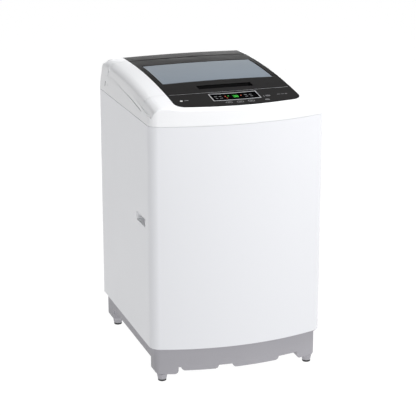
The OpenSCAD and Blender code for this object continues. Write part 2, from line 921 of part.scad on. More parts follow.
module outer_tub() color([0.85, 0.86, 0.87]) translate(tub_at) difference() {
    union() {
        tube(tub_r - tub_t, tub_r, tub_z, tub_top);
        translate([0, 0, tub_z]) cylinder(r = tub_r, h = 6);
        // Ears that rest on the suspension springs
        intersection() {
            union() for (a = ear_angles) rotate([0, 0, a]) {
                translate([tub_r - 6, -17, ear_z]) cube([ear_reach + 17 - tub_r + 6, 34, 12]);
                translate([tub_r - 6, -3, ear_z]) cube([40, 6, 60]);
            }
            translate([0, 0, ear_z]) cylinder(r = ear_reach + 16, h = 200);
        }
        translate([drain_at.x, drain_at.y - tub_at.y, tub_z - 16]) cylinder(r = 18, h = 17);
    }
    translate([0, 0, tub_z - 1]) cylinder(r = seal_r, h = 20);
    translate([drain_at.x, drain_at.y - tub_at.y, tub_z - 20]) cylinder(r = 14, h = 40);
    for (a = ear_angles) rotate([0, 0, a]) translate([ear_reach, 0, ear_z - 1])
        cylinder(r = rod_r + 0.8, h = 20);
}

ear_reach = norm([rod_x, rod_dy]);
ear_angles = [for (s = [-1, 1]) for (t = [-1, 1]) atan2(t * rod_dy, s * rod_x)];
seal_r = 26;

module tub_ring() color([0.8, 0.81, 0.83]) translate(tub_at) {
    tube(tub_r - tub_t, tub_r + 3, tub_top, tub_top + 6);
    tube(mouth_r + 4, tub_r - tub_t + 1, tub_top + 3, tub_top + 6);
    tube(mouth_r + 4, mouth_r + 7, tub_top, tub_top + 16);
}

module shaft_seal() color(dark) translate(tub_at) tube(spin_r + run, seal_r, tub_z - 2, tub_z + 6);

bearing_r = 24;

module shaft_bearings() color(steel) translate(tub_at) {
    tube(spin_r + run, bearing_r, tub_z - 20, tub_z - 6);
    tube(spin_r + run, bearing_r, tub_z - 86, tub_z - 72);
}

module gearbox_housing() color(zinc) translate(tub_at) difference() {
    union() {
        translate([0, 0, tub_z - 90]) cylinder(r = 58, h = 90);
        translate([0, 0, tub_z - 8]) cylinder(r = 110, h = 8);
        // Arm that carries the motor
        intersection() {
            rotate([0, 0, atan2(motor_at.y - tub_at.y, motor_at.x)])
                translate([0, -50, tub_z - 8]) cube([215, 100, 8]);
            translate([0, 0, tub_z - 10]) cylinder(r = 215, h = 12);
        }
    }
    translate([0, 0, tub_z - 91]) cylinder(r = bearing_r, h = 85);
    translate([0, 0, tub_z - 7]) cylinder(r = seal_r, h = 8);
    translate([0, 0, tub_z - 71.9]) cylinder(r = 48, h = 51.8);
}

module motor_housing() color(zinc) translate(motor_at) difference() {
    union() {
        translate([0, 0, 166]) cylinder(r = 56, h = tub_z - 8 - 166 - 8);
        translate([0, 0, 160]) cylinder(r = 30, h = 7);
        for (a = [45 : 90 : 315]) rotate([0, 0, a]) translate([50, -8, tub_z - 17])
            cube([16, 16, 9]);
    }
    translate([0, 0, 155]) cylinder(r = motor_shaft_r + run, h = 100);
}

module motor_shaft() color(steel) translate([motor_at.x, motor_at.y, 126])
    cylinder(r = motor_shaft_r, h = 125);

// A grooved pulley with its bore, hub and web
module pulley(r, bore, hub_r) difference() {
    translate([0, 0, belt_z]) rotate_extrude() polygon([
        [0, -9], [r + 3, -9], [r + 3, -belt_w / 2 - 1.5], [r - belt_t, -belt_w / 2 + 1.2],
        [r - belt_t, belt_w / 2 - 1.2], [r + 3, belt_w / 2 + 1.5], [r + 3, 9], [0, 9]]);
    translate([0, 0, belt_z - 20]) cylinder(r = bore, h = 40);
    if (r > 60) for (z = [belt_z - 20, belt_z + 3]) difference() {
        translate([0, 0, z]) cylinder(r = r - 16, h = 17);
        translate([0, 0, z - 1]) cylinder(r = hub_r, h = 20);
    }
}

module drive_pulley() color(zinc) translate(tub_at) pulley(drive_pulley_r, drive_r, 20);

module motor_pulley() color(steel) translate(motor_at) pulley(motor_pulley_r, motor_shaft_r, 12);

// The belt runs clear of both grooves by a hair, as a fixed loop
module drive_belt() color(dark) {
    gap = 0.4;
    inner = belt_t - gap;
    translate([0, 0, belt_z - belt_w / 2 + 1.6]) linear_extrude(belt_w - 3.2) difference() {
        belt_loop(0);
        belt_loop(-inner + 1);
    }
}

module belt_loop(g) hull() {
    translate(tub_at) circle(r = drive_pulley_r + g, $fn = 90);
    translate(motor_at) circle(r = motor_pulley_r + g, $fn = 60);
}

// ---- Basket and pulsator ----------------------------------------------------------------

module wash_basket() color(steel) translate(tub_at) {
    tube(basket_r - basket_t, basket_r, basket_z, basket_top);
    tube(basket_r - 14, basket_r, basket_z - basket_t, basket_z);
}

module balance_ring() color([0.75, 0.77, 0.8]) translate(tub_at) rotate_extrude()
    polygon([
        [mouth_r, ring_top - 30], [mouth_r + 6, ring_top - 34], [basket_r - basket_t, ring_top - 34],
        [basket_r - basket_t, basket_top], [basket_r, basket_top], [basket_r, ring_top - 4],
        [basket_r - 4, ring_top], [mouth_r + 5, ring_top], [mouth_r, ring_top - 6]]);

module basket_base() color([0.75, 0.77, 0.8]) translate(tub_at) difference() {
    union() {
        translate([0, 0, 318]) cylinder(r = basket_r - 2, h = basket_z - basket_t - 318);
        translate([0, 0, 306]) cylinder(r = 46, h = 13);
    }
    translate([0, 0, 300]) cylinder(r = spin_r, h = 60);
    // Recesses between the spokes of its underside
    for (a = [0 : 60 : 300]) rotate([0, 0, a]) intersection() {
        tube(60, basket_r - 14, 317, 324);
        rotate([0, 0, 6]) translate([0, 0, 310]) linear_extrude(20)
            polygon([[0, 0], [300, 0], [300 * cos(48), 300 * sin(48)]]);
    }
}

module lint_filter() color(white) translate(tub_at) for (a = [90, 270]) rotate([0, 0, a])
    intersection() {
        tube(basket_r - basket_t - 12, basket_r - basket_t, 420, 620);
        translate([basket_r - 40, -45, 420]) cube([60, 90, 200]);
    }

module spin_shaft() color(steel) translate(tub_at) tube(spin_bore_r, spin_r, tub_z - 92, 326);

module pulsator() color([0.85, 0.87, 0.9]) translate(tub_at) difference() {
    union() {
        rotate_extrude() polygon([
            [0, 336], [pulsator_r - 8, 336], [pulsator_r, 342], [pulsator_r - 2, 346],
            [pulsator_r - 20, 342], [70, 344], [46, 356], [37, 360], [0, 360]]);
        // Six vanes that rise from the dish
        for (a = [0 : 60 : 300]) rotate([0, 0, a]) translate([0, 0, 340]) rotate([90, 0, 0])
            linear_extrude(10, center = true)
                polygon([[38, 0], [pulsator_r - 14, 0], [pulsator_r - 26, 12], [110, 18], [52, 22],
                    [38, 19]]);
    }
    translate([0, 0, 330]) cylinder(r = drive_r, h = 22);
}

module pulsator_cap() color(grey) translate([tub_at.x, tub_at.y, 360])
    cylinder(r1 = 34, r2 = 24, h = 10);

module drive_shaft() color(steel) translate([tub_at.x, tub_at.y, 126])
    cylinder(r = drive_r, h = 352 - 126);

// ---- Drain ------------------------------------------------------------------------------

module drain_pump() color(dark) difference() {
    union() {
        translate([drain_at.x, drain_at.y, base_h]) cylinder(r = 34, h = 82);
        translate([drain_at.x, drain_at.y, base_h + 80]) cylinder(r = 18, h = 14);
        translate([outlet_at.x, drain_at.y, base_h + 30]) cube([60, 16, 24]);
        translate([outlet_at.x - 12, drain_at.y, base_h + 20]) cube([24, 128, 40]);
        translate([outlet_at.x - 12, 216, base_h + 40]) cube([24, 23.5, outlet_at.y - base_h - 22]);
    }
    translate([drain_at.x, drain_at.y, base_h + 60]) cylinder(r = 14, h = 60);
}

module drain_bellows() color(dark) translate([drain_at.x, drain_at.y, 0]) {
    low = base_h + 94;
    high = tub_z - 16;
    folds = 6;
    step = (high - low) / (2 * folds);
    rotate_extrude() polygon(concat(
        [for (i = [0 : 2 * folds]) [i % 2 == 0 ? 14 : 18, low + i * step]],
        [for (i = [2 * folds : -1 : 0]) [i % 2 == 0 ? 17 : 22, low + i * step]]));
}

module drain_outlet() color(grey) difference() {
    union() {
        along_y(drain_neck_r, cover_y - pocket_depth - 20, cover_y - 10, outlet_at.x, outlet_at.y);
        along_y(19, cover_y - pocket_depth - 6, cover_y - pocket_depth, outlet_at.x, outlet_at.y);
        along_y(drain_pipe_r, cover_y - pocket_depth + sheet + 0.5, cover_y - 3,
            outlet_at.x, outlet_at.y);
    }
    along_y(11.5, cover_y - pocket_depth - 30, cover_y + 2, outlet_at.x, outlet_at.y);
}

// ---- Choice of node ---------------------------------------------------------------------

cabinet();
rear_cover();
base_frame();
corner_braces();
rod_seats();
suspension_rods();
suspension_springs();
side_grips();
panel_screws();
top_cover();
rear_panel();
control_panel();
display_window();
display_bezel();
control_board();
water_valve();
detergent_housing();
level_sensor();
lid_switch();
hinge_brackets();
drain_pump();
drain_bellows();
drain_outlet();
cord_gland();
foot_nuts();
lid_frame();
lid_side_trims();
lid_panel();
lid_glass();
lid_handle();
lid_hinges();
hinge_pins();
detergent_drawer();
programme_button();
water_level_button();
rinse_button();
power_button();
start_button();
outer_tub();
tub_ring();
gearbox_housing();
shaft_bearings();
shaft_seal();
motor_housing();
drive_belt();
wash_basket();
balance_ring();
basket_base();
lint_filter();
spin_shaft();
pulsator();
pulsator_cap();
drive_shaft();
drive_pulley();
motor_shaft();
motor_pulley();
foot_front_left();
foot_front_right();
foot_rear_left();
foot_rear_right();
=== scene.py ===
"""Looks of the top load washing machine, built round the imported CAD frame. Metres."""

import json
import math

import bmesh
import bpy
import numpy as np
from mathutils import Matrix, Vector
from mathutils.bvhtree import BVHTree


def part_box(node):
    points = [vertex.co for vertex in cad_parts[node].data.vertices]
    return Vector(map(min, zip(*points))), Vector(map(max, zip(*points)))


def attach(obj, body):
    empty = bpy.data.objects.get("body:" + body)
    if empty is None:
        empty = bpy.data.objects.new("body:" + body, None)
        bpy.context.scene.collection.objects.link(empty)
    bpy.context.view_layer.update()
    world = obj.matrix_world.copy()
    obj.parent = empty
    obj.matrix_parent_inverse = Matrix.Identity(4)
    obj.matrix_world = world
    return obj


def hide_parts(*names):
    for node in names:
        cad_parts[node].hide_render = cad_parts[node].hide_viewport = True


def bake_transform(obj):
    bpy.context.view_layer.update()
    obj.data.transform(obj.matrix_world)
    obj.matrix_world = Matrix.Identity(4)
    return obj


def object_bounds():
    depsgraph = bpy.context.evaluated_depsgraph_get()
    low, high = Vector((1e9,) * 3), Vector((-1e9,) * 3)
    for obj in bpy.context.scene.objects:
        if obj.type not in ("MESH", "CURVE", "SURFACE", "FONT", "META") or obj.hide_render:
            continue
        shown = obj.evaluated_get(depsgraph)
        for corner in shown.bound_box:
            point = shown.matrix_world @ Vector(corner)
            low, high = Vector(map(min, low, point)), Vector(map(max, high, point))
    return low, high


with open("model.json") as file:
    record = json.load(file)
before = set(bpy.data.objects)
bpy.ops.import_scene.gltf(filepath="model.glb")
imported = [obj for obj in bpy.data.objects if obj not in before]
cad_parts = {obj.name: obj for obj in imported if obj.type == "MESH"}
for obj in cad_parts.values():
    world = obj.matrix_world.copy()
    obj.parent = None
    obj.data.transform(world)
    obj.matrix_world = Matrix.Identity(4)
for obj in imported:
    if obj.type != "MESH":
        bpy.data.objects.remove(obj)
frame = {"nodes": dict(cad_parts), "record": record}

scene = bpy.context.scene
cad_low, cad_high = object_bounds()
nodes, record = frame["nodes"], frame["record"]
slot_of = {p["node"]: p["material_slot"] for p in record["subparts"]}
body_of = {n: b for b, names in record["behaviour"]["bodies"].items() for n in names}
MM = 0.001

# ---- Camera, floor and lights -------------------------------------------------------------

CAMERA_AT = Vector((-1.4750, -4.3090, 1.8318))
YAW, PITCH = 0.328106, 0.294770
camera_data = bpy.data.cameras.new("camera")
camera_data.sensor_width = 36
camera_data.lens = 132.774
camera_data.clip_start, camera_data.clip_end = 0.1, 1500
camera = bpy.data.objects.new("camera", camera_data)
scene.collection.objects.link(camera)
camera.location = CAMERA_AT
forward = Vector((
    math.sin(YAW) * math.cos(PITCH), math.cos(YAW) * math.cos(PITCH), -math.sin(PITCH)))
camera.rotation_mode = "QUATERNION"
camera.rotation_quaternion = forward.to_track_quat("-Z", "Y")
scene.camera = camera
scene.view_settings.view_transform = "Standard"
scene.view_settings.look = "None"


def area_light(name, at, target, size, power, color=(1, 1, 1)):
    data = bpy.data.lights.new(name, "AREA")
    data.shape, data.size, data.size_y = "RECTANGLE", size[0], size[1]
    data.energy, data.color = power, color
    light = bpy.data.objects.new(name, data)
    scene.collection.objects.link(light)
    light.location = at
    light.rotation_mode = "QUATERNION"
    light.rotation_quaternion = (Vector(target) - Vector(at)).to_track_quat("-Z", "Y")
    return light


area_light("key", (2.2, -3.4, 2.6), (0, 0, 0.45), (2.6, 2.2), 52)
area_light("fill", (-1.15, -4.3, 1.3), (-0.2, -0.2, 0.45), (0.7, 2.2), 33)
area_light("top", (0.9, -0.5, 3.4), (0, 0, 0.6), (2.0, 2.0), 112)
area_light("left", (-3.6, -0.6, 1.6), (0, 0, 0.4), (0.8, 2.4), 0.1, (0.85, 0.92, 1))
area_light("back", (0.9, 3.8, 0.8), (0, 0.3, 0.45), (2.4, 1.2), 20)

# The studio wall is white at the horizon and dim above it
SKY = [(0.09, (1, 1, 1, 1)), (0.24, (0.055, 0.058, 0.06, 1))]
world = bpy.data.worlds.new("studio")
scene.world = world
world.use_nodes = True
sky = world.node_tree
direction = sky.nodes.new("ShaderNodeTexCoord")
height = sky.nodes.new("ShaderNodeSeparateXYZ")
glow = sky.nodes.new("ShaderNodeValToRGB")
for element, (at, color) in zip(glow.color_ramp.elements, SKY):
    element.position, element.color = at, color
sky.links.new(direction.outputs["Generated"], height.inputs[0])
sky.links.new(height.outputs["Z"], glow.inputs["Fac"])
sky.links.new(glow.outputs["Color"], sky.nodes["Background"].inputs["Color"])

# ---- Materials ----------------------------------------------------------------------------


class Tree:
    """A material's node tree, with its principled shader at hand."""

    def __init__(self, name):
        self.material = bpy.data.materials.new(name)
        self.material.use_nodes = True
        self.tree = self.material.node_tree
        self.shader = self.tree.nodes["Principled BSDF"]
        self.place = self.add("ShaderNodeTexCoord").outputs["Object"]

    def add(self, kind, **values):
        node = self.tree.nodes.new(kind)
        for key, value in values.items():
            setattr(node, key, value)
        return node

    def link(self, a, b):
        self.tree.links.new(a, b)

    def stretched(self, scale):
        node = self.add("ShaderNodeMapping")
        node.inputs["Scale"].default_value = scale
        self.link(self.place, node.inputs["Vector"])
        return node.outputs["Vector"]

    def noise(self, scale, detail=2.0, rough=0.5, vector=None):
        node = self.add("ShaderNodeTexNoise")
        node.inputs["Scale"].default_value = scale
        node.inputs["Detail"].default_value = detail
        node.inputs["Roughness"].default_value = rough
        self.link(vector or self.place, node.inputs["Vector"])
        return node.outputs["Fac"]

    def cells(self, scale):
        node = self.add("ShaderNodeTexVoronoi")
        node.inputs["Scale"].default_value = scale
        self.link(self.place, node.inputs["Vector"])
        return node

    def ramp(self, fac, stops):
        node = self.add("ShaderNodeValToRGB")
        ramp = node.color_ramp
        while len(ramp.elements) < len(stops):
            ramp.elements.new(0.5)
        for element, (at, color) in zip(ramp.elements, stops):
            element.position = at
            element.color = (*color[:3], 1)
        self.link(fac, node.inputs["Fac"])
        return node.outputs["Color"]

    def between(self, fac, low, high, start=0.3, end=0.7):
        node = self.add("ShaderNodeMapRange")
        ends = {"From Min": start, "From Max": end, "To Min": low, "To Max": high}
        for key, value in ends.items():
            node.inputs[key].default_value = value
        self.link(fac, node.inputs["Value"])
        return node.outputs["Result"]

    def bump(self, *layers):
        """Layers are (height, strength, distance in mm)."""
        last = None
        for height, strength, distance in layers:
            node = self.add("ShaderNodeBump")
            node.inputs["Strength"].default_value = strength
            node.inputs["Distance"].default_value = distance * MM
            self.link(height, node.inputs["Height"])
            if last:
                self.link(last, node.inputs["Normal"])
            last = node.outputs["Normal"]
        self.link(last, self.shader.inputs["Normal"])

    def calculate(self, operation, a, b):
        node = self.add("ShaderNodeMath", operation=operation)
        for socket, value in zip(node.inputs, (a, b)):
            if isinstance(value, (int, float)):
                socket.default_value = value
            else:
                self.link(value, socket)
        return node.outputs[0]

    def edge_mask(self, split, half_x, y0, y1, width):
        """One within width of a rectangle's edges, zero inside."""
        over_x = self.calculate(
            "SUBTRACT", self.calculate("ABSOLUTE", split.outputs["X"], 0), half_x - width)
        over_y = self.calculate("SUBTRACT", split.outputs["Y"], y1 - width)
        under_y = self.calculate("SUBTRACT", y0 + width, split.outputs["Y"])
        most = self.calculate("MAXIMUM", over_x, self.calculate("MAXIMUM", over_y, under_y))
        return self.calculate("GREATER_THAN", most, 0)

    def set(self, **values):
        """Plain values on the shader's own sockets, with underscores for spaces."""
        for key, value in values.items():
            self.shader.inputs[key.replace("_", " ")].default_value = value


def shades(color, change):
    """Stops for a slightly darker to a slightly lighter version of a colour."""
    low = [c * (1 - change) for c in color]
    high = [min(1, c * (1 + change)) for c in color]
    return [(0.25, low), (0.75, high)]


def painted(name, color):
    t = Tree(name)
    t.link(t.ramp(t.noise(2.2, 1), shades(color, 0.004)), t.shader.inputs["Base Color"])
    t.link(t.between(t.noise(9, 2), 0.29, 0.33), t.shader.inputs["Roughness"])
    t.bump((t.noise(360, 1), 0.02, 0.03))
    t.set(Coat_Weight=0.25, Coat_Roughness=0.15)
    return t.material


def panel_skin(name, color, slot_x, y0, y1):
    """Satin panel plastic, painted nearly black in the finger slot as painted shade of its recess.
    """
    t = Tree(name)
    split = t.add("ShaderNodeSeparateXYZ")
    t.link(t.place, split.inputs[0])
    face = t.ramp(t.noise(5, 2), shades(color, 0.06))
    # Inside the finger slot the colour is painted near-black: painted shade in the recess.
    face_or_slot_shade = t.add("ShaderNodeMix", data_type="RGBA")
    t.link(t.edge_mask(split, slot_x, y0, y1, 0), face_or_slot_shade.inputs["Factor"])
    t.link(t.ramp(t.noise(60, 3), shades((0.0035, 0.0035, 0.0036), 0.2)), face_or_slot_shade.inputs["A"])
    t.link(face, face_or_slot_shade.inputs["B"])
    t.link(face_or_slot_shade.outputs["Result"], t.shader.inputs["Base Color"])
    t.link(t.between(t.noise(18, 3), 0.31, 0.37), t.shader.inputs["Roughness"])
    t.bump((t.noise(1900, 2, 0.6), 0.04, 0.05))
    t.set(Specular_IOR_Level=0.02)
    return t.material


def moulded(name, color, rough, grain=1400, depth=0.1, change=0.03, coat=0.0, specular=0.5):
    t = Tree(name)
    t.link(t.ramp(t.noise(5, 2), shades(color, change)), t.shader.inputs["Base Color"])
    t.link(t.between(t.noise(18, 3), rough - 0.03, rough + 0.03), t.shader.inputs["Roughness"])
    t.bump((t.noise(grain, 2, 0.6), depth, 0.05))
    t.set(Coat_Weight=coat, Coat_Roughness=0.08, Specular_IOR_Level=specular)
    return t.material


def brushed(name, color, rough, direction=(40, 40, 900)):
    t = Tree(name)
    lines = t.noise(1, 6, 0.7, t.stretched(direction))
    t.link(t.ramp(lines, shades(color, 0.1)), t.shader.inputs["Base Color"])
    t.link(t.between(lines, rough - 0.06, rough + 0.1), t.shader.inputs["Roughness"])
    t.bump((lines, 0.12, 0.05), (t.noise(9, 2), 0.04, 0.8))
    t.set(Metallic=1.0)
    return t.material


def plated(name, color):
    t = Tree(name)
    spangle = t.cells(95)
    t.link(t.ramp(spangle.outputs["Distance"], shades(color, 0.05)), t.shader.inputs["Base Color"])
    t.link(t.between(t.noise(40, 3), 0.4, 0.46), t.shader.inputs["Roughness"])
    t.bump((spangle.outputs["Distance"], 0.006, 0.01), (t.noise(300, 3), 0.02, 0.05))
    t.set(Metallic=0.9)
    return t.material


def cast(name, color):
    t = Tree(name)
    t.link(t.ramp(t.noise(18, 6), shades(color, 0.12)), t.shader.inputs["Base Color"])
    t.link(t.between(t.noise(60, 6), 0.45, 0.62), t.shader.inputs["Roughness"])
    t.bump((t.noise(520, 8, 0.7), 0.4, 0.3), (t.noise(40, 3), 0.1, 0.5))
    t.set(Metallic=0.85)
    return t.material


def glass(name, low, high, half_x, y0, y1):
    """Tinted lid glass with a dark printed border, painted a little lighter towards the rear as
    painted light.
    """
    t = Tree(name)
    split = t.add("ShaderNodeSeparateXYZ")
    t.link(t.place, split.inputs[0])
    wave = t.noise(5, 2)
    # Painted light: the glass colour grows lighter towards the rear.
    rise = t.between(split.outputs["Y"], 0, 1, y0, y1)
    mix = t.add("ShaderNodeMath", operation="MULTIPLY_ADD")
    mix.inputs[1].default_value = 0.18
    t.link(wave, mix.inputs[0])
    t.link(rise, mix.inputs[2])
    tint_and_painted_light = t.ramp(mix.outputs[0], [(0.05, low), (1.0, high)])
    border = t.add("ShaderNodeMix", data_type="RGBA")
    t.link(t.edge_mask(split, half_x, y0, y1, 0.0035), border.inputs["Factor"])
    t.link(tint_and_painted_light, border.inputs["A"])
    border_tint = t.ramp(wave, [(0.3, (0.035, 0.03, 0.028)), (0.7, (0.05, 0.042, 0.038))])
    t.link(border_tint, border.inputs["B"])
    t.link(border.outputs["Result"], t.shader.inputs["Base Color"])
    t.link(t.between(wave, 0.07, 0.12), t.shader.inputs["Roughness"])
    t.bump((t.noise(11, 1), 0.02, 0.4), (t.noise(700, 2), 0.01, 0.05))
    t.set(Transmission_Weight=0.22, IOR=1.46, Specular_IOR_Level=0.3)
    return t.material


WHITE = (0.83, 0.835, 0.85)
materials = {
    "white_paint": painted("white_paint", (0.735, 0.742, 0.77)),
    "white_plastic": moulded("white_plastic", WHITE, 0.32, 900, 0.015, 0.003, 0.25),
    "inner_plastic": moulded("inner_plastic", (0.74, 0.75, 0.77), 0.48, 1300, 0.12),
    "grey_plastic": moulded("grey_plastic", (0.36, 0.353, 0.38), 0.52, 1500, 0.14, 0.03, 0.0, 0.4),
    "dark_panel": panel_skin("dark_panel", (0.0195, 0.019, 0.019), 0.0845, -0.1445, -0.1135),
    "dark_plastic": moulded(
        "dark_plastic", (0.009, 0.009, 0.0095), 0.5, 1500, 0.15, 0.08, 0.0, 0.05),
    "display_window": moulded(
        "display_window", (0.0015, 0.0015, 0.0018), 0.2, 2200, 0.01, 0.1, 0.0, 0.008),
    "trim": moulded("trim", (0.52, 0.53, 0.55), 0.28, 1500, 0.05, 0.05),
    "buttons": moulded("buttons", (0.019, 0.0185, 0.018), 0.4, 1900, 0.06, 0.06, 0.0, 0.05),
    "board": moulded("board", (0.03, 0.16, 0.08), 0.42, 600, 0.2, 0.12),
    "lid_glass": glass("lid_glass", (0.26, 0.3, 0.345), (0.34, 0.38, 0.42), 0.176, -0.073, 0.143),
    "tub_plastic": moulded("tub_plastic", (0.62, 0.63, 0.65), 0.5, 1200, 0.15),
    "ring_plastic": moulded("ring_plastic", (0.58, 0.61, 0.65), 0.42, 1200, 0.12),
    "pulsator_plastic": moulded("pulsator_plastic", (0.6, 0.65, 0.7), 0.3, 1400, 0.08),
    "drawer_plastic": moulded("drawer_plastic", (0.55, 0.62, 0.7), 0.3, 1400, 0.08),
    "stainless": brushed("stainless", (0.62, 0.63, 0.65), 0.3),
    "zinc_plate": plated("zinc_plate", (0.5, 0.51, 0.53)),
    "steel": brushed("steel", (0.56, 0.57, 0.59), 0.34, (300, 300, 500)),
    "cast_alloy": cast("cast_alloy", (0.5, 0.51, 0.52)),
    "rubber": moulded("rubber", (0.05, 0.05, 0.052), 0.66, 900, 0.25, 0.12, 0.0, 0.35),
}


def glowing(name, color, strength):
    t = Tree(name)
    t.link(t.ramp(t.noise(900, 2), shades(color, 0.08)), t.shader.inputs["Base Color"])
    t.link(t.between(t.noise(300, 2), 0.35, 0.45), t.shader.inputs["Roughness"])
    t.bump((t.noise(1500, 2), 0.03, 0.05))
    t.set(Emission_Color=(*color, 1), Emission_Strength=strength)
    return t.material


green_lamp = glowing("green_lamp", (0.03, 0.42, 0.035), 0.6)
red_lamp = glowing("red_lamp", (0.45, 0.06, 0.02), 0.55)
print_ink = moulded("print_ink", (0.27, 0.27, 0.28), 0.5, 1800, 0.05)
# Grey for the side clip slots: painted shade of their openings.
painted_slot_shade = moulded("painted_slot_shade", (0.3, 0.3, 0.31), 0.55, 1500, 0.1, 0.05, 0.0, 0.3)
pale_ink = moulded("pale_ink", (0.62, 0.62, 0.63), 0.45, 1800, 0.05)

floor_tree = Tree("studio_floor")
floor_tree.link(
    floor_tree.ramp(floor_tree.noise(0.8, 2), shades((0.08, 0.08, 0.081), 0.004)),
    floor_tree.shader.inputs["Base Color"])
floor_tree.set(Roughness=0.9, Specular_IOR_Level=0.05)
floor_tree.set(Emission_Color=(1, 1, 1, 1), Emission_Strength=0.985)
floor_mesh = bpy.data.meshes.new("floor")
grid = bmesh.new()
bmesh.ops.create_grid(grid, x_segments=24, y_segments=24, size=400)
grid.to_mesh(floor_mesh)
grid.free()
floor = bpy.data.objects.new("floor", floor_mesh)
floor_mesh.materials.append(floor_tree.material)
scene.collection.objects.link(floor)

# ---- Building helpers ---------------------------------------------------------------------


def new_object(name, mesh, material):
    """A mesh object in the scene with one material on all of its faces."""
    mesh.materials.clear()
    mesh.materials.append(material)
    for face in mesh.polygons:
        face.material_index = 0
    obj = bpy.data.objects.new(name, mesh)
    scene.collection.objects.link(obj)
    return obj


def smooth(mesh, angle=32):
    mesh.shade_smooth()
    mesh.set_sharp_from_angle(angle=math.radians(angle))


def weighted(obj):
    modifier = obj.modifiers.new("weighted_normals", "WEIGHTED_NORMAL")
    modifier.keep_sharp = True
    modifier.weight = 80


def mesh_from(verts, faces, name="shape"):
    mesh = bpy.data.meshes.new(name)
    mesh.from_pydata([tuple(v) for v in verts], [], faces)
    mesh.validate()
    bm = bmesh.new()
    bm.from_mesh(mesh)
    bmesh.ops.recalc_face_normals(bm, faces=bm.faces)
    bm.to_mesh(mesh)
    bm.free()
    return mesh


def cad_copy(node, bevel=0.0, dissolve=True):
    """The CAD node's mesh, welded and with its hard edges rounded by bevel millimetres."""
    source = nodes[node].data
    bm = bmesh.new()
    bm.from_mesh(source)
    bmesh.ops.remove_doubles(bm, verts=bm.verts, dist=2e-6)
    if dissolve:
        bmesh.ops.dissolve_limit(
            bm, angle_limit=math.radians(0.4), verts=bm.verts, edges=bm.edges,
            use_dissolve_boundaries=False)
    mesh = bpy.data.meshes.new(node + "_shape")
    bm.to_mesh(mesh)
    bm.free()
    for name in ("custom_normal", "sharp_face", "sharp_edge"):
        if name in mesh.attributes:
            mesh.attributes.remove(mesh.attributes[name])
    if bevel:
        carrier = bpy.data.objects.new("carrier", mesh)
        scene.collection.objects.link(carrier)
        modifier = carrier.modifiers.new("bevel", "BEVEL")
        modifier.width = bevel * MM
        modifier.segments = 2
        modifier.limit_method = "ANGLE"
        modifier.angle_limit = math.radians(35)
        modifier.use_clamp_overlap = True
        modifier.miter_outer = "MITER_ARC"
        mesh = baked(carrier)
    return mesh


def baked(carrier):
    """The evaluated mesh of a scratch object, which is removed."""
    bpy.context.view_layer.update()
    graph = bpy.context.evaluated_depsgraph_get()
    mesh = bpy.data.meshes.new_from_object(carrier.evaluated_get(graph))
    old = carrier.data
    bpy.data.objects.remove(carrier)
    bpy.data.meshes.remove(old)
    return mesh


def finish_piece(obj, body, slot, *replaced):
    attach(obj, body)
    if replaced:
        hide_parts(*replaced)
    return obj


def stand_for(node, mesh):
    """A piece made from mesh that takes the place of a CAD node."""
    smooth(mesh)
    obj = new_object(node + "_finished", mesh, materials[slot_of[node]])
    weighted(obj)
    return finish_piece(obj, body_of[node], slot_of[node], node)


def lathe(profile, centre=(0, 0), steps=64, flutes=0, depth=0.0):
    """A closed profile of (radius, z) turned about a vertical axis, fluted if asked."""
    verts, faces = [], []
    count = len(profile)
    for i in range(steps):
        a = 2 * math.pi * i / steps
        for r, z in profile:
            q = r - (depth * (0.5 + 0.5 * math.cos(flutes * a)) if flutes else 0)
            verts.append((centre[0] + q * math.cos(a), centre[1] + q * math.sin(a), z))
    for i in range(steps):
        j = (i + 1) % steps
        for k in range(count):
            m = (k + 1) % count
            if profile[k][0] < 1e-9 and profile[m][0] < 1e-9:
                continue
            faces.append((i * count + k, j * count + k, j * count + m, i * count + m))
    mesh = mesh_from(verts, faces)
    bm = bmesh.new()
    bm.from_mesh(mesh)
    bmesh.ops.remove_doubles(bm, verts=bm.verts, dist=1e-6)
    bmesh.ops.dissolve_degenerate(bm, edges=bm.edges, dist=1e-7)
    bmesh.ops.recalc_face_normals(bm, faces=bm.faces)
    bm.to_mesh(mesh)
    bm.free()
    return mesh


def join_meshes(*meshes):
    bm = bmesh.new()
    for mesh in meshes:
        bm.from_mesh(mesh)
    joined = bpy.data.meshes.new("joined")
    bm.to_mesh(joined)
    bm.free()
    return joined


def wire_mesh(points, radius, sides=10):
    """A round wire along a path, closed at its ends."""
    verts, faces = [], []
    points = [Vector(p) for p in points]
    up = Vector((0, 0, 1))
    for i, p in enumerate(points):
        along = (points[min(i + 1, len(points) - 1)] - points[max(i - 1, 0)]).normalized()
        side = along.cross(up)
        side = side.normalized() if side.length > 1e-6 else Vector((1, 0, 0))
        over = side.cross(along)
        for k in range(sides):
            a = 2 * math.pi * k / sides
            verts.append(p + side * radius * math.cos(a) + over * radius * math.sin(a))
    for i in range(len(points) - 1):
        for k in range(sides):
            m = (k + 1) % sides
            faces.append((i * sides + k, i * sides + m, (i + 1) * sides + m, (i + 1) * sides + k))
    faces.append(tuple(range(sides - 1, -1, -1)))
    last = (len(points) - 1) * sides
    faces.append(tuple(range(last, last + sides)))
    return mesh_from(verts, faces)

# ---- The top's surface and outline, in millimetres -----------------------------------------

HALF_W = cad_high.x / MM
HALF_D = -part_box("top_cover")[0].y / MM
SEAM_Z = 787.0
BOW = 50.0
CORNER_R, REAR_R = 35.0, 12.0
BOW_R = (HALF_W ** 2 + BOW ** 2) / (2 * BOW)
BOW_Y = BOW_R - HALF_D
LEAN = 15 / 89
DARK_HW, ARC_R, TOP_Z, APEX_Y = 192.0, 2750.0, 880.0, 200.0
CROWN, SHOULDER_DROP = 3, 9
ROLL_X, ROLL_W, ROLL_FALL = 232, 30, 26
STATIONS = [0, 64, 128, 192, 215, 232, 239, 245, 250, 254, 257, 262, 272]


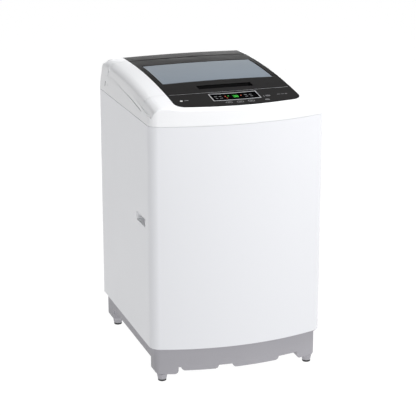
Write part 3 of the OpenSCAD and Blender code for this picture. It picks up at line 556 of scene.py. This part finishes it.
def section(x):
    """Radius of the top's side-view arc at width x, straight between the CAD's stations."""

    def exact(v):
        if v <= DARK_HW:
            return CROWN * (1 - (v / DARK_HW) ** 2)
        turned = min(1, max(0, v - ROLL_X) / ROLL_W)
        roll = ROLL_FALL * (1 - math.sqrt(1 - turned ** 2))
        return -SHOULDER_DROP * ((v - DARK_HW) / (HALF_W - DARK_HW)) ** 2 - roll

    return ARC_R + float(np.interp(abs(x), STATIONS, [exact(v) for v in STATIONS]))


def top_surface(x, y):
    return TOP_Z - ARC_R + math.sqrt(section(x) ** 2 - (y - APEX_Y) ** 2)


def outline(g):
    """The top cover's outline set in by g, anticlockwise from the middle of the front."""
    r = BOW_R - CORNER_R
    cx = HALF_W - CORNER_R
    cy = BOW_Y - math.sqrt(r * r - cx * cx)
    tangent = math.atan2(cx, BOW_Y - cy)
    half = [((BOW_R - g) * math.sin(a), BOW_Y - (BOW_R - g) * math.cos(a))
        for a in np.linspace(0, tangent, 26)]
    half += [(cx + (CORNER_R - g) * math.sin(a), cy - (CORNER_R - g) * math.cos(a))
        for a in np.linspace(tangent, math.pi / 2, 14)[1:]]
    rear_y = HALF_D - REAR_R
    half += [(HALF_W - g, y) for y in np.linspace(cy, rear_y, 22)[1:]]
    rr = REAR_R - g
    half += [(HALF_W - REAR_R + rr * math.cos(a), rear_y + rr * math.sin(a))
        for a in np.linspace(0, math.pi / 2, 8)[1:]]
    half += [(x, HALF_D - g) for x in np.linspace(HALF_W - REAR_R, 0, 12)[1:-1]]
    return half + [(0, HALF_D - g)] + [(-x, y) for x, y in half[:0:-1]]


def envelope(round_r, side_r, swell=0.12):
    """A closed solid round the top, its upper edge rounded, that trims the CAD's hard edges.

    The rounding is round_r at the front and back, and side_r at the sides and corners, where
    the surface already rolls over.
    """
    base, step = outline(-swell), outline(1 - swell)
    rings = [[(x, y, SEAM_Z - 17) for x, y in base]]
    radii = [float(np.interp(abs(x), (185, 226), (round_r, side_r))) for x, _ in base]

    def lean_in(x, z, inset):
        """The point's x, held inside the leaning side."""
        limit = HALF_W - LEAN * max(0.0, z - SEAM_Z + 1) + swell - inset
        return math.copysign(min(abs(x), limit), x)

    for k in range(13):
        a = math.radians(7.5 * k)
        ring = []
        for (x0, y0), (x1, y1), r in zip(base, step, radii):
            inset, drop = r * (1 - math.cos(a)), r * (1 - math.sin(a))
            x, y = x0 + inset * (x1 - x0), y0 + inset * (y1 - y0)
            z = 860.0  # first guess, which the loop settles
            for _ in range(12):
                z = top_surface(lean_in(x, z, inset), y) - drop + swell
            ring.append((lean_in(x, z, inset), y, z))
        if k == 0:
            for z0 in (SEAM_Z - 1, 805.0, 822.0):
                rings.append([(lean_in(x, z0, 0), y, z0) for x, y in base])
        rings.append(ring)
    edge = rings[-1]
    for t in (0.992, 0.98, 0.965, 0.945, 0.92, 0.88, 0.82, 0.74, 0.6, 0.4, 0.2):
        rings.append([(x * t, y * t, top_surface(x * t, y * t) + swell) for x, y, _ in edge])
    count = len(edge)
    verts = [Vector(p) * MM for ring in rings for p in ring]
    faces = [tuple(range(count - 1, -1, -1))]
    for i in range(len(rings) - 1):
        for k in range(count):
            m = (k + 1) % count
            faces.append((i * count + k, i * count + m, (i + 1) * count + m, (i + 1) * count + k))
    verts.append(Vector((0, 0, top_surface(0, 0) + swell)) * MM)
    last = (len(rings) - 1) * count
    faces += [(last + k, last + (k + 1) % count, len(verts) - 1) for k in range(count)]
    return mesh_from(verts, faces, "envelope")


def trimmed(node, cutter_mesh):
    """The part of a CAD node's mesh inside a closed cutter."""
    mesh = cad_copy(node, dissolve=False)
    carrier = bpy.data.objects.new("carrier", mesh)
    cutter = bpy.data.objects.new("cutter", cutter_mesh)
    for obj in (carrier, cutter):
        scene.collection.objects.link(obj)
    modifier = carrier.modifiers.new("cut", "BOOLEAN")
    modifier.operation, modifier.solver, modifier.object = "INTERSECT", "MANIFOLD", cutter
    result = baked(carrier)
    bpy.data.objects.remove(cutter)
    return result


trimmer = envelope(9.3, 2.5)
for node in ("top_cover", "lid_side_trims"):
    stand_for(node, trimmed(node, trimmer))

# ---- CAD nodes that keep their shape --------------------------------------------------------

# The width in millimetres that rounds each node's edges
ROUNDED = {
    "cabinet": 0.5, "rear_cover": 0.5, "base_frame": 1.6, "side_grips": 1.2, "cord_gland": 0.6,
    "lid_frame": 0.4, "lid_panel": 0.5, "lid_handle": 0.8, "lid_hinges": 0.4, "control_panel": 0.35,
    "rear_panel": 0.5, "display_bezel": 0.15, "display_window": 0.15, "detergent_drawer": 0.8,
    "detergent_housing": 0.6, "water_valve": 0.6, "level_sensor": 0.6, "lid_switch": 0.8,
    "hinge_brackets": 0.3, "corner_braces": 0.4, "rod_seats": 0.5, "panel_screws": 0.4,
    "foot_nuts": 0.4, "drain_pump": 1.0, "drain_outlet": 0.6, "outer_tub": 1.0, "tub_ring": 0.8,
    "gearbox_housing": 1.2, "motor_housing": 1.2, "balance_ring": 1.2, "basket_base": 1.0,
    "lint_filter": 1.0, "drive_pulley": 0.6, "motor_pulley": 0.4, "shaft_seal": 0.4,
    "shaft_bearings": 0.5, "spin_shaft": 0.4, "drive_shaft": 0.4, "motor_shaft": 0.4,
    "suspension_rods": 0.3, "hinge_pins": 0.3, "drive_belt": 0.4, "control_board": 0.2,
    "lid_glass": 0.3, "pulsator": 1.5, "pulsator_cap": 1.0, "programme_button": 0.35,
    "water_level_button": 0.35, "rinse_button": 0.35, "power_button": 0.35, "start_button": 0.35,
}
for node, width in ROUNDED.items():
    stand_for(node, cad_copy(node, width))

# ---- Springs, bellows, basket and feet ------------------------------------------------------

TUB_X, TUB_Y = 0.0, 0.012
COIL_R, WIRE_R, COIL_TURNS = 0.0125, 0.0017, 9
CUP_R = 0.0146  # from the spring's axis to the side of its box


def spring(x, y, z0, z1):
    """A coil spring with a flat part turn at each end."""
    steps = COIL_TURNS * 28
    flat = 0.6
    points = []
    for i in range(steps + 1):
        t = i / steps
        a = 2 * math.pi * COIL_TURNS * t
        rise = min(1, max(0, (COIL_TURNS * t - flat) / (COIL_TURNS - 2 * flat)))
        points.append((x + COIL_R * math.cos(a), y + COIL_R * math.sin(a),
            z0 + WIRE_R + rise * (z1 - z0 - 2 * WIRE_R)))
    return wire_mesh(points, WIRE_R)


low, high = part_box("suspension_springs")
rod_x = high.x - CUP_R
rod_y = (low.y + CUP_R, high.y - CUP_R)
coils = join_meshes(*[spring(sx * rod_x, y, low.z, high.z) for sx in (-1, 1) for y in rod_y])
smooth(coils)
coils = new_object("suspension_coils", coils, materials["steel"])
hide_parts("suspension_springs")
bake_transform(coils)

low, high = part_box("drain_bellows")
centre = ((low.x + high.x) / 2, (low.y + high.y) / 2)
outer, inner = [], []
for i in range(73):
    t = i / 72
    r = 0.0175 + 0.0042 * (0.5 - 0.5 * math.cos(2 * math.pi * 6 * t))
    outer.append((r, low.z + t * (high.z - low.z)))
    inner.append((r - 0.002, low.z + t * (high.z - low.z)))
bellows = lathe(outer + inner[::-1], centre, 48)
smooth(bellows, 50)
bellows = new_object("drain_bellows_folds", bellows, materials["rubber"])
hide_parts("drain_bellows")
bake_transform(bellows)


def perforated_wall(radius, z0, z1, thickness, around, rows, hole):
    """A drum wall with round holes, some left out, and solid bands at its two ends."""
    bm = bmesh.new()
    pitch = 2 * math.pi / around
    row_h = (z1 - z0) / rows
    key = {}

    def vert(a, z):
        k = (round(a / pitch * 64) % (around * 64), round(z * 1e6))
        if k not in key:
            b = k[0] / 64 * pitch
            key[k] = bm.verts.new((TUB_X + radius * math.cos(b), TUB_Y + radius * math.sin(b), z))
        return key[k]

    for j in range(rows):
        solid = j in (0, rows - 1)
        for i in range(around):
            a0, zc = i * pitch, z0 + (j + 0.5) * row_h
            a1, am = a0 + pitch, a0 + pitch / 2
            lo_z, hi_z = z0 + j * row_h, z0 + (j + 1) * row_h
            ring = [vert(a0, lo_z), vert(am, lo_z), vert(a1, lo_z), vert(a1, zc),
                vert(a1, hi_z), vert(am, hi_z), vert(a0, hi_z), vert(a0, zc)]
            if solid or (i % 8 in (0, 4) and j % 2):
                bm.faces.new(ring)
                continue
            inner_ring = []
            for k in range(8):
                t = math.radians(225 + 45 * k)
                b, z = am + hole / radius * math.cos(t), zc + hole * math.sin(t)
                inner_ring.append(bm.verts.new(
                    (TUB_X + radius * math.cos(b), TUB_Y + radius * math.sin(b), z)))
            for k in range(8):
                m = (k + 1) % 8
                bm.faces.new((ring[k], ring[m], inner_ring[m], inner_ring[k]))
    bmesh.ops.recalc_face_normals(bm, faces=bm.faces)
    mesh = bpy.data.meshes.new("drum")
    bm.to_mesh(mesh)
    bm.free()
    carrier = bpy.data.objects.new("carrier", mesh)
    scene.collection.objects.link(carrier)
    modifier = carrier.modifiers.new("sheet", "SOLIDIFY")
    modifier.thickness, modifier.offset = thickness, -1
    return baked(carrier)


low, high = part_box("wash_basket")
basket_r = (high.x - low.x) / 2
SHEET, HOLE_R, HOLES_AROUND, HOLE_ROWS = 0.0015, 0.0021, 104, 30
wall_z0 = low.z + SHEET
wall = perforated_wall(basket_r, wall_z0, high.z, SHEET, HOLES_AROUND, HOLE_ROWS, HOLE_R)
hem = lathe([(basket_r - 0.014, low.z), (basket_r - 0.0004, low.z), (basket_r, low.z + 0.0006),
    (basket_r - 0.0004, wall_z0), (basket_r - 0.014, wall_z0)], (TUB_X, TUB_Y), HOLES_AROUND)
drum = join_meshes(wall, hem)
smooth(drum, 40)
drum = new_object("wash_basket_drum", drum, materials["stainless"])
finish_piece(drum, "basket", "stainless", "wash_basket")

TIP_TOP, LEG_TOP = 0.006, 0.0235  # heights of the foot's rubber tip and of its grey cone
THREAD_R, THREAD_DEPTH, THREAD_PITCH = 0.0049, 0.0006, 0.0012
FOOT_TIP = [(0, 0), (0.0112, 0), (0.0124, 0.0008), (0.0128, 0.002), (0.0128, 0.0052),
    (0.0122, TIP_TOP), (0, TIP_TOP)]
FOOT_LEG = [(0, TIP_TOP), (0.0124, TIP_TOP), (0.0132, 0.0068), (0.0136, 0.0095),
    (0.0146, 0.0145), (0.0156, 0.0195), (0.016, 0.0218), (0.0158, 0.023), (0.015, LEG_TOP),
    (0, LEG_TOP)]


def foot_stem(top):
    """The profile of the threaded stem, up to a height."""
    thread = [(0, LEG_TOP)]
    z = LEG_TOP
    root = THREAD_R - THREAD_DEPTH
    while z < top - 0.002:
        thread += [(root, z), (THREAD_R, z + 0.0005), (root, z + 0.001)]
        z += THREAD_PITCH
    return thread + [(0.004, top - 0.0004), (0.0034, top), (0, top)]


for foot in ("foot_front_left", "foot_front_right", "foot_rear_left", "foot_rear_right"):
    low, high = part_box(foot)
    centre = ((low.x + high.x) / 2, (low.y + high.y) / 2)
    parts = (
        ("_pad", lathe(FOOT_TIP, centre, 72, 24, 0.0005), 40, "rubber"),
        ("_leg", lathe(FOOT_LEG, centre, 72, 12, 0.0006), 40, "grey_plastic"),
        ("_stem", lathe(foot_stem(high.z), centre, 32), 30, "zinc_plate"))
    for suffix, mesh, angle, slot in parts:
        smooth(mesh, angle)
        finish_piece(new_object(foot + suffix, mesh, materials[slot]), foot, slot, foot)

# ---- Printed marks, lamps and digits on the control panel -----------------------------------

TOP_NODES = ("control_panel", "display_window", "programme_button", "water_level_button",
    "rinse_button", "power_button", "start_button")
corners, polygons = [], []
for node in TOP_NODES:
    offset = len(corners)
    corners += [v.co.copy() for v in nodes[node].data.vertices]
    polygons += [[i + offset for i in p.vertices] for p in nodes[node].data.polygons]
top_tree = BVHTree.FromPolygons(corners, polygons)


def surface_at(x, y):
    """Height in metres of the panel's top at a place in millimetres."""
    hit = top_tree.ray_cast(Vector((x * MM, y * MM, 1.0)), Vector((0, 0, -1)))[0]
    return hit.z if hit else top_surface(x, y) * MM


def rise_to(points, at, lift):
    """Points on the plane that touches the surface at a place, lifted a little."""
    x0, y0 = at
    z0 = surface_at(x0, y0)
    slope_y = (surface_at(x0, y0 + 3) - surface_at(x0, y0 - 3)) / 6
    slope_x = (surface_at(x0 + 3, y0) - surface_at(x0 - 3, y0)) / 6
    return [Vector((x * MM, y * MM, z0 + (x - x0) * slope_x + (y - y0) * slope_y + lift * MM))
        for x, y in points]


def mark(at, outer, inner=None, lift=0.1, sink=0.35):
    """A thin raised print: a filled outline, or the band between two outlines of equal count."""
    top = rise_to(outer, at, lift)
    low_z = Vector((0, 0, -(lift + sink) * MM))
    count = len(outer)
    verts = top + [p + low_z for p in top]
    faces = [(k, (k + 1) % count, count + (k + 1) % count, count + k) for k in range(count)]
    if inner is None:
        faces += [tuple(range(count)), tuple(range(2 * count - 1, count - 1, -1))]
    else:
        hole = rise_to(inner, at, lift)
        verts += hole + [p + low_z for p in hole]
        for k in range(count):
            m = (k + 1) % count
            faces.append((k, m, 2 * count + m, 2 * count + k))
            faces.append((count + k, count + m, 3 * count + m, 3 * count + k))
            faces.append((2 * count + k, 2 * count + m, 3 * count + m, 3 * count + k))
    return mesh_from(verts, faces, "mark")


def stadium(at, w, d, steps=14):
    """An outline w wide and d deep with half-round ends."""
    points = []
    for side in (1, -1):
        for k in range(steps + 1):
            a = -math.pi / 2 + math.pi * k / steps
            points.append((at[0] + side * ((w - d) / 2 + d / 2 * math.cos(a)),
                at[1] + side * d / 2 * math.sin(a)))
    return points


def circle(at, r, steps=28):
    turns = [2 * math.pi * k / steps for k in range(steps)]
    return [(at[0] + r * math.cos(a), at[1] + r * math.sin(a)) for a in turns]


def rectangle(at, w, d):
    return [(at[0] + sx * w / 2, at[1] + sy * d / 2)
        for sx, sy in ((-1, -1), (1, -1), (1, 1), (-1, 1))]


def place_marks(name, body, material, slot, meshes):
    """One finished piece made of several thin marks."""
    mesh = join_meshes(*meshes)
    smooth(mesh, 30)
    return finish_piece(new_object(name, mesh, material), body, slot)


BIG_KEY, SMALL_KEY = (22, 13), (15, 12)
# Each button's centre on the panel and its size
BUTTONS = {
    "programme_button": ((-34, -264), BIG_KEY), "water_level_button": ((0, -265), BIG_KEY),
    "rinse_button": ((34, -264), BIG_KEY), "power_button": ((96, -234), SMALL_KEY),
    "start_button": ((84, -263), SMALL_KEY)}
RING_INSET, RING_W = 0.9, 1.2  # of the outline printed round each button

for node, (at, (w, d)) in BUTTONS.items():
    x, y = at
    out_by, in_by = 2 * RING_INSET, 2 * (RING_INSET + RING_W)
    prints = [mark(at, stadium(at, w - out_by, d - out_by), stadium(at, w - in_by, d - in_by))]
    if node == "power_button":
        prints.append(mark(at, rectangle((x, y + 1.4), 0.9, 3.6)))
        arc = [math.radians(a) for a in range(125, 416, 15)]
        outer = [(x + 2.9 * math.cos(a), y + 2.9 * math.sin(a)) for a in arc]
        inner = [(x + 2.1 * math.cos(a), y + 2.1 * math.sin(a)) for a in arc]
        prints.append(mark(at, outer + inner[::-1]))
    elif node == "start_button":
        prints.append(mark(at, [(x - 3.4, y - 2.3), (x + 0.6, y), (x - 3.4, y + 2.3)]))
        prints += [mark(at, rectangle((x + d, y), 0.9, 4.2)) for d in (1.9, 3.6)]
    else:
        prints.append(mark(at, rectangle(at, 8, 1.3)))
    place_marks(node + "_print", node, print_ink, "trim", prints)

# Where each stroke of a figure sits, in widths and half heights, and whether it is upright
SEGMENTS = {"a": (0, 1, 0), "b": (0.5, 0.5, 1), "c": (0.5, -0.5, 1), "d": (0, -1, 0),
    "e": (-0.5, -0.5, 1), "f": (-0.5, 0.5, 1), "g": (0, 0, 0)}
LIT = {"3": "abgcd", "8": "abcdefg"}


def segment(cx, cy, name, w, h, t):
    """One stroke, t thick, of a figure w wide and h high."""
    sx, sy, upright = SEGMENTS[name]
    x, y = cx + sx * w, cy + sy * h / 2
    length = (h / 2 if upright else w) / 2 - 0.5
    if upright:
        return [(x, y - length - t / 2), (x + t / 2, y - length), (x + t / 2, y + length),
            (x, y + length + t / 2), (x - t / 2, y + length), (x - t / 2, y - length)]
    return [(x - length - t / 2, y), (x - length, y - t / 2), (x + length, y - t / 2),
        (x + length + t / 2, y), (x + length, y + t / 2), (x - length, y + t / 2)]


def ribbon(path, width, lift=0.1, sink=0.35):
    """A thin raised line on the surface, along a path seen from above."""
    verts, faces = [], []
    for x, y in path:
        for dy in (0, width):
            z = surface_at(x, y + dy)
            verts += [(x * MM, (y + dy) * MM, z + h * MM) for h in (lift, -sink)]
    for i in range(len(path) - 1):
        a, b = 4 * i, 4 * i + 4
        for k0, k1 in ((0, 2), (2, 3), (3, 1), (1, 0)):
            faces.append((a + k0, b + k0, b + k1, a + k1))
    faces += [(0, 2, 3, 1), tuple(len(verts) - 4 + k for k in (1, 3, 2, 0))]
    return mesh_from(verts, faces, "ribbon")


# A painted highlight: a light grey line that follows the panel's curved rear edge, a little in
# front of it
LID_FRONT, LID_FRONT_R, LID_GAP, HIGHLIGHT_INSET = -175, 1800, 1.5, 1.9
highlight_front = LID_FRONT - LID_GAP - HIGHLIGHT_INSET
highlight_path = [(x, highlight_front + LID_FRONT_R - math.sqrt(LID_FRONT_R ** 2 - x * x))
    for x in np.linspace(-184, 184, 93)]
# The grey ribbon is a painted highlight on the panel's rear edge.
place_marks("panel_edge_painted_highlight", "body", materials["trim"], "trim", [ribbon(highlight_path, 0.8)])

low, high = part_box("display_window")
shown_x, shown_y = (low.x + high.x) / 2 / MM, (low.y + high.y) / 2 / MM - 2
digits = []
for figure, dx in (("3", -3.5), ("8", 5.5)):
    for name in LIT[figure]:
        stroke = segment(shown_x + dx, shown_y, name, 5.5, 14, 1.7)
        digits.append(mark((shown_x + dx, shown_y), stroke))
place_marks("display_digits", "body", green_lamp, "display_window", digits)


def display_marks(name, material, slot, *places):
    """Small bars on the display, each given as (x, y, width, depth) from the figures."""
    bars = []
    for dx, dy, w, d in places:
        at = (shown_x + dx, shown_y + dy)
        bars.append(mark(at, rectangle(at, w, d)))
    place_marks(name, "body", material, slot, bars)


display_marks("display_lamp_green", green_lamp, "display_window", (-19, 6, 3.2, 4.5))
display_marks("display_lamps_red", red_lamp, "display_window",
    (-29, 4, 3.2, 4.5), (-27, -8, 3.2, 4.5), (19, 4, 3.2, 4.5))
display_marks("display_labels", print_ink, "trim",
    (-58, 7, 9, 1.8), (-44, 7, 8, 1.8), (-58, -7, 8, 1.8), (-44, -7, 9, 1.8),
    (34, 7, 9, 1.8), (49, 7, 8, 1.8), (34, -6, 8, 1.8), (49, -6, 9, 1.8))

# Plain dashes and a dot on the panel, as (place, width, depth)
plain = [mark(p, rectangle(p, w, d)) for p, w, d in (
    ((133, -225), 10, 1.8), ((146, -224), 9, 1.8), ((157, -223), 7, 1.8),
    ((-149, -221), 12, 2.4), ((84, -234), 1.3, 9))]
place_marks("panel_marks", "body", print_ink, "trim", plain)

# A narrow clip slot near the rear of each side of the top cover, drawn as a thin grey patch on the
# wall: painted shade of the opening
SLOT_Y, SLOT_Z, SLOT_H, SLOT_W = 240, 812, 16, 5


def side_slot(sign):
    verts = []
    for depth in (0.25, -0.6):
        for k in range(24):
            a = 2 * math.pi * k / 24
            y = SLOT_Y + SLOT_W / 2 * math.cos(a)
            end = math.copysign((SLOT_H - SLOT_W) / 2, math.sin(a))
            z = SLOT_Z + end + SLOT_W / 2 * math.sin(a)
            x = HALF_W - LEAN * (z - SEAM_Z + 1) + depth
            verts.append((sign * x * MM, y * MM, z * MM))
    faces = [tuple(range(24)), tuple(range(47, 23, -1))]
    faces += [(k, 24 + k, 24 + (k + 1) % 24, (k + 1) % 24) for k in range(24)]
    return mesh_from(verts, faces, "slot")


side_slots = join_meshes(side_slot(-1), side_slot(1))
smooth(side_slots, 30)
finish_piece(new_object("side_clip_slots", side_slots, painted_slot_shade), "body", "dark_plastic")
place_marks("panel_dot", "body", pale_ink, "trim", [mark((-164, -221), circle((-164, -221), 4.2))])
